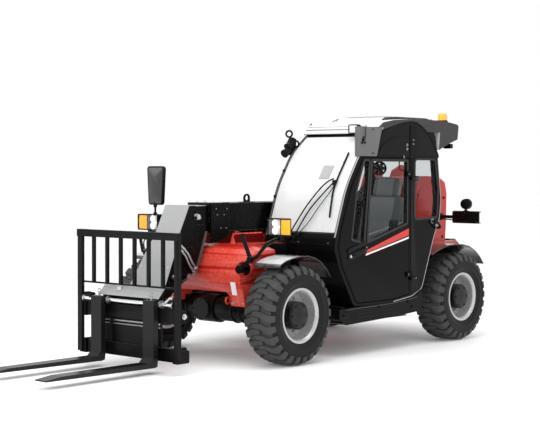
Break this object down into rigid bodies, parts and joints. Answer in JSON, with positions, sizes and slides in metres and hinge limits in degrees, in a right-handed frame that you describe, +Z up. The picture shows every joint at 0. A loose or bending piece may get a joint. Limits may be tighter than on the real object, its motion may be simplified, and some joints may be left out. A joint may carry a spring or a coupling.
{
  "type": "telehandler",
  "caption": "Compact telescopic handler with side cab, telescopic boom, tilting pallet-fork carriage with load guard, four-wheel steering, opening cab door and engine hood.",
  "frame": {"origin": "on the ground under the middle of the overall length and width", "axes": "+X forward towards the fork tips, +Y to the machine's left (the cab side), +Z up"},
  "size_m": [5, 1.81, 2.085],
  "materials": {
    "red_paint": "satin gloss red",
    "black_paint": "semi-gloss black",
    "grey_paint": "light grey enamel",
    "pod_plastic": "moulded grey plastic",
    "black_plastic": "moulded black plastic",
    "fork_steel": "painted black, worn at the blades",
    "cast_iron": "black painted casting",
    "chrome": "hard chrome",
    "rim_silver": "silver lacquer",
    "tyre": "black rubber",
    "clear_glass": "clear safety glass",
    "seat_fabric": "dark grey vinyl and cloth",
    "lamp_clear": "clear ribbed lens in black housing",
    "amber_lens": "amber lens"
  },
  "bodies": {
    "machine": {"chassis_frame": "red_paint", "front_chassis": "red_paint", "rear_counterweight": "cast_iron", "fuel_tank_cover": "red_paint", "hydraulic_tank": "black_paint", "front_axle": "cast_iron", "rear_axle": "cast_iron", "fenders": "pod_plastic", "cab_frame": "black_paint", "windshield": "clear_glass", "cab_windows": "clear_glass", "cab_roof": "pod_plastic", "seat": "seat_fabric", "dashboard": "black_plastic", "steering_wheel": "black_plastic", "side_step": "black_paint", "engine_block": "cast_iron", "engine_tray": "black_paint", "exhaust_pipe": "black_paint", "lamp_brackets": "black_paint", "front_lamps": "lamp_clear", "mirror": "black_plastic", "tail_lamps": "black_plastic", "beacon": "amber_lens", "corner_pod": "pod_plastic", "work_lamps": "lamp_clear"},
    "door": {"cab_door": "black_paint", "door_glass": "clear_glass"},
    "hood": {"engine_hood": "red_paint"},
    "boom": {"outer_boom": "black_paint"},
    "extension": {"inner_boom": "black_paint", "head_cover": "grey_paint"},
    "lift_barrel_body": {"lift_barrel": "black_paint"},
    "lift_rod_body": {"lift_rod": "chrome"},
    "tilt_barrel_body": {"tilt_barrel": "black_paint"},
    "tilt_rod_body": {"tilt_rod": "chrome"},
    "fork_carriage": {"carriage": "black_paint", "fork_bar": "chrome", "load_guard": "black_paint", "forks": "fork_steel"},
    "steer_fl": {"knuckle_fl": "cast_iron"},
    "wheel_fl": {"rim_fl": "rim_silver", "tyre_fl": "tyre"},
    "steer_fr": {"knuckle_fr": "cast_iron"},
    "wheel_fr": {"rim_fr": "rim_silver", "tyre_fr": "tyre"},
    "steer_rl": {"knuckle_rl": "cast_iron"},
    "wheel_rl": {"rim_rl": "rim_silver", "tyre_rl": "tyre"},
    "steer_rr": {"knuckle_rr": "cast_iron"},
    "wheel_rr": {"rim_rr": "rim_silver", "tyre_rr": "tyre"}
  },
  "joints": [
    {"name": "steering_fl", "type": "hinge", "parent": "machine", "child": "steer_fl", "pos_m": [0.35, 0.6, 0.4], "axis": [0, 0, 1], "range_deg": [-27, 27]},
    {"name": "steering_fr", "type": "hinge", "parent": "machine", "child": "steer_fr", "pos_m": [0.35, -0.6, 0.4], "axis": [0, 0, 1], "range_deg": [-27, 27]},
    {"name": "steering_rl", "type": "hinge", "parent": "machine", "child": "steer_rl", "pos_m": [-1.95, 0.6, 0.4], "axis": [0, 0, 1], "range_deg": [-27, 27]},
    {"name": "steering_rr", "type": "hinge", "parent": "machine", "child": "steer_rr", "pos_m": [-1.95, -0.6, 0.4], "axis": [0, 0, 1], "range_deg": [-27, 27]},
    {"name": "wheel_fl_spin", "type": "hinge", "parent": "steer_fl", "child": "wheel_fl", "pos_m": [0.35, 0.75, 0.4], "axis": [0, 1, 0], "continuous": true},
    {"name": "wheel_fr_spin", "type": "hinge", "parent": "steer_fr", "child": "wheel_fr", "pos_m": [0.35, -0.75, 0.4], "axis": [0, 1, 0], "continuous": true},
    {"name": "wheel_rl_spin", "type": "hinge", "parent": "steer_rl", "child": "wheel_rl", "pos_m": [-1.95, 0.75, 0.4], "axis": [0, 1, 0], "continuous": true},
    {"name": "wheel_rr_spin", "type": "hinge", "parent": "steer_rr", "child": "wheel_rr", "pos_m": [-1.95, -0.75, 0.4], "axis": [0, 1, 0], "continuous": true},
    {"name": "boom_lift", "type": "hinge", "parent": "machine", "child": "boom", "pos_m": [-2.05, -0.1, 1.4], "axis": [0, -1, 0], "range_deg": [0, 60]},
    {"name": "boom_extend", "type": "slide", "parent": "boom", "child": "extension", "axis": [1, 0, 0], "range_m": [0, 1.95]},
    {"name": "carriage_tilt", "type": "hinge", "parent": "extension", "child": "fork_carriage", "pos_m": [1.21, -0.1, 0.265], "axis": [0, 1, 0], "range_deg": [-14, 90]},
    {"name": "lift_barrel_hinge", "type": "hinge", "parent": "machine", "child": "lift_barrel_body", "pos_m": [-1.85, -0.1, 0.65], "axis": [0, -1, 0], "range_deg": [0, 49.72]},
    {"name": "lift_rod_slide", "type": "slide", "parent": "lift_barrel_body", "child": "lift_rod_body", "axis": [0.967, 0, 0.2549], "range_m": [0, 0.7425]},
    {"name": "tilt_barrel_hinge", "type": "hinge", "parent": "extension", "child": "tilt_barrel_body", "pos_m": [0.73, -0.1, 0.9], "axis": [0, -1, 0], "range_deg": [-1.17, 4.82]},
    {"name": "tilt_rod_slide", "type": "slide", "parent": "tilt_barrel_body", "child": "tilt_rod_body", "axis": [0.6642, 0, -0.7475], "range_m": [-0.0278, 0.1623]},
    {"name": "cab_door_hinge", "type": "hinge", "parent": "machine", "child": "door", "pos_m": [-1.187, 0.857, 1.05], "axis": [0, 0, 1], "range_deg": [0, 95]},
    {"name": "engine_hood_hinge", "type": "hinge", "parent": "machine", "child": "hood", "pos_m": [-0.8, -0.275, 1.162], "axis": [-1, 0, 0], "range_deg": [0, 65]}
  ],
  "couplings": [
    {"joint": "steering_fr", "follows": "steering_fl", "ratio": 1},
    {"joint": "steering_rl", "follows": "steering_fl", "ratio": -1},
    {"joint": "steering_rr", "follows": "steering_fl", "ratio": -1},
    {"joint": "lift_barrel_hinge", "follows": "boom_lift", "ratio": 0.8203},
    {"joint": "lift_rod_slide", "follows": "boom_lift", "m_per_rad": 0.70617},
    {"joint": "tilt_barrel_hinge", "follows": "carriage_tilt", "ratio": 0.04802},
    {"joint": "tilt_rod_slide", "follows": "carriage_tilt", "m_per_rad": 0.10144}
  ]
}
